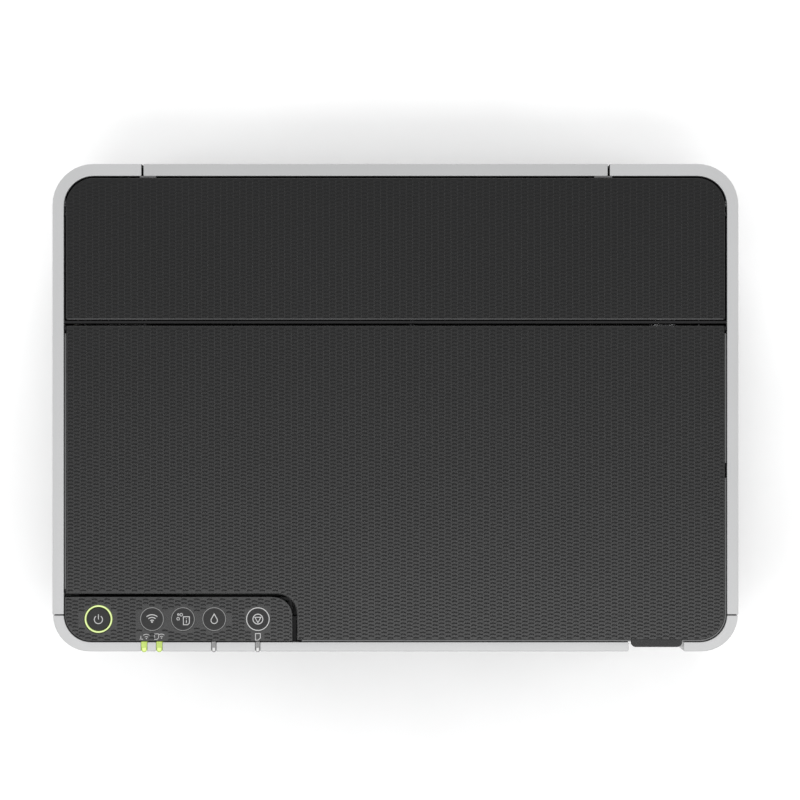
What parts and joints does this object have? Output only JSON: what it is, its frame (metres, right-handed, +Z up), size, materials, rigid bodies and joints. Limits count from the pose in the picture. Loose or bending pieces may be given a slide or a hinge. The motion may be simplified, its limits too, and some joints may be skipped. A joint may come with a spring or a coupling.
{
  "type": "inkjet printer",
  "caption": "Compact inkjet printer with a flat black top in a light grey case, a lifting cover, a folding rear paper support, a button panel and an ink tank.",
  "frame": {"origin": "on the table, under the middle of the printer's bounding box", "axes": "+Z up, -Y to the front where the paper comes out, +X to the right as seen from the front"},
  "size_m": [0.375, 0.267, 0.161],
  "materials": {
    "case_grey": "light grey, fine satin",
    "case_black": "black, fine matt",
    "panel_black": "black, embossed with a fine staggered pattern",
    "inner_black": "black, plain",
    "inner_grey": "dark grey, plain",
    "white_plastic": "natural white gear plastic",
    "steel": "bare sheet steel",
    "shaft_steel": "ground and polished",
    "rubber_dark": "matt black rubber",
    "tank_clear": "milky translucent",
    "window_clear": "clear smoked",
    "tube_dark": "flexible tube",
    "board_green": "solder mask with chips",
    "foam": "felted absorber",
    "brass": "turned brass",
    "light_guide": "clear, lit yellow-green",
    "film": "printed film",
    "button_black": "black with a printed symbol"
  },
  "bodies": {
    "case": {"bottom_case": "case_black", "tray_bed": "inner_grey", "outer_case": "case_grey", "rear_cover": "case_grey", "front_panel": "case_grey", "control_panel": "panel_black", "feeder_frame": "inner_grey", "main_frame": "steel", "feed_motor": "steel", "wheel_holders": "inner_grey", "platen": "inner_black", "guide_rod": "shaft_steel", "drive_belt": "rubber_dark", "carriage_motor": "steel", "encoder_strip": "film", "capping_station": "inner_grey", "waste_ink_pad": "foam", "ink_tank": "tank_clear", "ink_window": "window_clear", "ink_tube": "tube_dark", "circuit_boards": "board_green", "power_supply": "inner_black", "usb_socket": "steel", "light_pipes": "light_guide", "rubber_feet": "rubber_dark", "screws": "shaft_steel"},
    "cover": {"printer_cover": "panel_black"},
    "support": {"paper_support": "panel_black"},
    "extension": {"support_extension": "inner_black"},
    "guard": {"feeder_guard": "inner_black"},
    "hopper": {"hopper_plate": "inner_grey"},
    "left_guide": {"left_edge_guide": "inner_black"},
    "right_guide": {"right_edge_guide": "inner_black"},
    "guide_gear": {"guide_pinion": "white_plastic"},
    "feed": {"feed_roller": "shaft_steel", "feed_gear": "white_plastic"},
    "idler": {"idler_gear": "white_plastic"},
    "exit": {"exit_roller": "rubber_dark", "exit_gear": "white_plastic"},
    "pinion": {"motor_pinion": "brass"},
    "transfer": {"transfer_gear": "white_plastic"},
    "second": {"second_gear": "white_plastic"},
    "pickup": {"pickup_roller": "white_plastic", "pickup_tyre": "rubber_dark", "pickup_gear": "white_plastic"},
    "pinch": {"pinch_rollers": "white_plastic"},
    "stars": {"star_wheels": "shaft_steel"},
    "carriage": {"carriage": "inner_grey", "print_head": "inner_black"},
    "belt_drive": {"drive_pulley": "white_plastic"},
    "belt_idler": {"idler_pulley": "white_plastic"},
    "tank_cap": {"tank_cap": "inner_black"},
    "tray": {"output_tray": "inner_black"},
    "tray_end": {"tray_extension": "inner_black"},
    "stopper": {"paper_stopper": "inner_black"},
    "power_key": {"power_button": "button_black"},
    "wireless_key": {"wireless_button": "button_black"},
    "network_key": {"network_button": "button_black"},
    "ink_key": {"ink_button": "button_black"},
    "stop_key": {"stop_button": "button_black"}
  },
  "joints": [
    {"name": "cover_hinge", "type": "hinge", "parent": "case", "child": "cover", "pos_m": [0, 0.0435, 0.1589], "axis": [-1, 0, 0], "range_deg": [0, 62]},
    {"name": "support_hinge", "type": "hinge", "parent": "case", "child": "support", "pos_m": [0, 0.106, 0.1589], "axis": [-1, 0, 0], "range_deg": [0, 100]},
    {"name": "extension_slide", "type": "slide", "parent": "support", "child": "extension", "axis": [0, -1, 0], "range_m": [0, 0.04]},
    {"name": "guard_hinge", "type": "hinge", "parent": "case", "child": "guard", "pos_m": [0, 0.0508, 0.146], "axis": [1, 0, 0], "range_deg": [0, 80]},
    {"name": "hopper_hinge", "type": "hinge", "parent": "case", "child": "hopper", "pos_m": [0, 0.09545, 0.12357], "axis": [-1, 0, 0], "range_deg": [0, 5]},
    {"name": "left_guide_slide", "type": "slide", "parent": "hopper", "child": "left_guide", "axis": [1, 0, 0], "range_m": [0, 0.058]},
    {"name": "right_guide_slide", "type": "slide", "parent": "hopper", "child": "right_guide", "axis": [-1, 0, 0], "range_m": [0, 0.058]},
    {"name": "guide_gear_spin", "type": "hinge", "parent": "hopper", "child": "guide_gear", "pos_m": [-0.011, 0.08235, 0.1057], "axis": [0, -0.7314, 0.682], "range_deg": [-480, 0]},
    {"name": "feed_spin", "type": "hinge", "parent": "case", "child": "feed", "pos_m": [0, 0.03, 0.076], "axis": [1, 0, 0], "continuous": true},
    {"name": "idler_spin", "type": "hinge", "parent": "case", "child": "idler", "pos_m": [0, -0.0036, 0.076], "axis": [1, 0, 0], "continuous": true},
    {"name": "exit_spin", "type": "hinge", "parent": "case", "child": "exit", "pos_m": [0, -0.0372, 0.076], "axis": [1, 0, 0], "continuous": true},
    {"name": "pinion_spin", "type": "hinge", "parent": "case", "child": "pinion", "pos_m": [0, 0.04753, 0.05315], "axis": [1, 0, 0], "continuous": true},
    {"name": "transfer_spin", "type": "hinge", "parent": "case", "child": "transfer", "pos_m": [0, 0.02161, 0.1073], "axis": [1, 0, 0], "continuous": true},
    {"name": "second_spin", "type": "hinge", "parent": "case", "child": "second", "pos_m": [0, 0.03091, 0.11907], "axis": [1, 0, 0], "continuous": true},
    {"name": "pickup_spin", "type": "hinge", "parent": "case", "child": "pickup", "pos_m": [0, 0.058, 0.112], "axis": [1, 0, 0], "continuous": true},
    {"name": "pinch_spin", "type": "hinge", "parent": "case", "child": "pinch", "pos_m": [0, 0.0312, 0.08522], "axis": [1, 0, 0], "continuous": true},
    {"name": "stars_spin", "type": "hinge", "parent": "case", "child": "stars", "pos_m": [0, -0.0372, 0.0863], "axis": [1, 0, 0], "continuous": true},
    {"name": "carriage_slide", "type": "slide", "parent": "case", "child": "carriage", "axis": [-1, 0, 0], "range_m": [0, 0.245]},
    {"name": "drive_pulley_spin", "type": "hinge", "parent": "case", "child": "belt_drive", "pos_m": [0.15, 0.03, 0.12], "axis": [0, 1, 0], "range_deg": [0, 2100]},
    {"name": "idler_pulley_spin", "type": "hinge", "parent": "case", "child": "belt_idler", "pos_m": [-0.16, 0.03, 0.12], "axis": [0, 1, 0], "range_deg": [0, 2100]},
    {"name": "tank_cap_hinge", "type": "hinge", "parent": "case", "child": "tank_cap", "pos_m": [0.15, -0.072, 0.1135], "axis": [-1, 0, 0], "range_deg": [0, 95]},
    {"name": "tray_slide", "type": "slide", "parent": "case", "child": "tray", "axis": [0, -1, 0], "range_m": [0, 0.11]},
    {"name": "tray_end_slide", "type": "slide", "parent": "tray", "child": "tray_end", "axis": [0, -1, 0], "range_m": [0, 0.09]},
    {"name": "stopper_hinge", "type": "hinge", "parent": "tray_end", "child": "stopper", "pos_m": [-0.011, -0.126, 0.0312], "axis": [1, 0, 0], "range_deg": [0, 85]},
    {"name": "power_button_press", "type": "slide", "parent": "case", "child": "power_key", "axis": [0, 0, -1], "range_m": [0, 0.0008], "stiffness_N_per_m": 500, "springref_m": -0.0006},
    {"name": "wireless_button_press", "type": "slide", "parent": "case", "child": "wireless_key", "axis": [0, 0, -1], "range_m": [0, 0.0008], "stiffness_N_per_m": 500, "springref_m": -0.0006},
    {"name": "network_button_press", "type": "slide", "parent": "case", "child": "network_key", "axis": [0, 0, -1], "range_m": [0, 0.0008], "stiffness_N_per_m": 500, "springref_m": -0.0006},
    {"name": "ink_button_press", "type": "slide", "parent": "case", "child": "ink_key", "axis": [0, 0, -1], "range_m": [0, 0.0008], "stiffness_N_per_m": 500, "springref_m": -0.0006},
    {"name": "stop_button_press", "type": "slide", "parent": "case", "child": "stop_key", "axis": [0, 0, -1], "range_m": [0, 0.0008], "stiffness_N_per_m": 500, "springref_m": -0.0006}
  ],
  "couplings": [
    {"joint": "extension_slide", "follows": "support_hinge", "m_per_rad": 0.0229},
    {"joint": "guard_hinge", "follows": "support_hinge", "ratio": 0.8},
    {"joint": "right_guide_slide", "follows": "left_guide_slide", "ratio": 1},
    {"joint": "guide_gear_spin", "follows": "left_guide_slide", "rad_per_m": -142.86},
    {"joint": "idler_spin", "follows": "feed_spin", "ratio": -1.3333},
    {"joint": "exit_spin", "follows": "feed_spin", "ratio": 1},
    {"joint": "pinion_spin", "follows": "feed_spin", "ratio": -2},
    {"joint": "transfer_spin", "follows": "feed_spin", "ratio": -1.4545},
    {"joint": "second_spin", "follows": "feed_spin", "ratio": 1.2727},
    {"joint": "pickup_spin", "follows": "feed_spin", "ratio": -0.50909},
    {"joint": "pinch_spin", "follows": "feed_spin", "ratio": -2},
    {"joint": "stars_spin", "follows": "feed_spin", "ratio": -1.5},
    {"joint": "drive_pulley_spin", "follows": "carriage_slide", "rad_per_m": 148.15},
    {"joint": "idler_pulley_spin", "follows": "carriage_slide", "rad_per_m": 148.15}
  ]
}
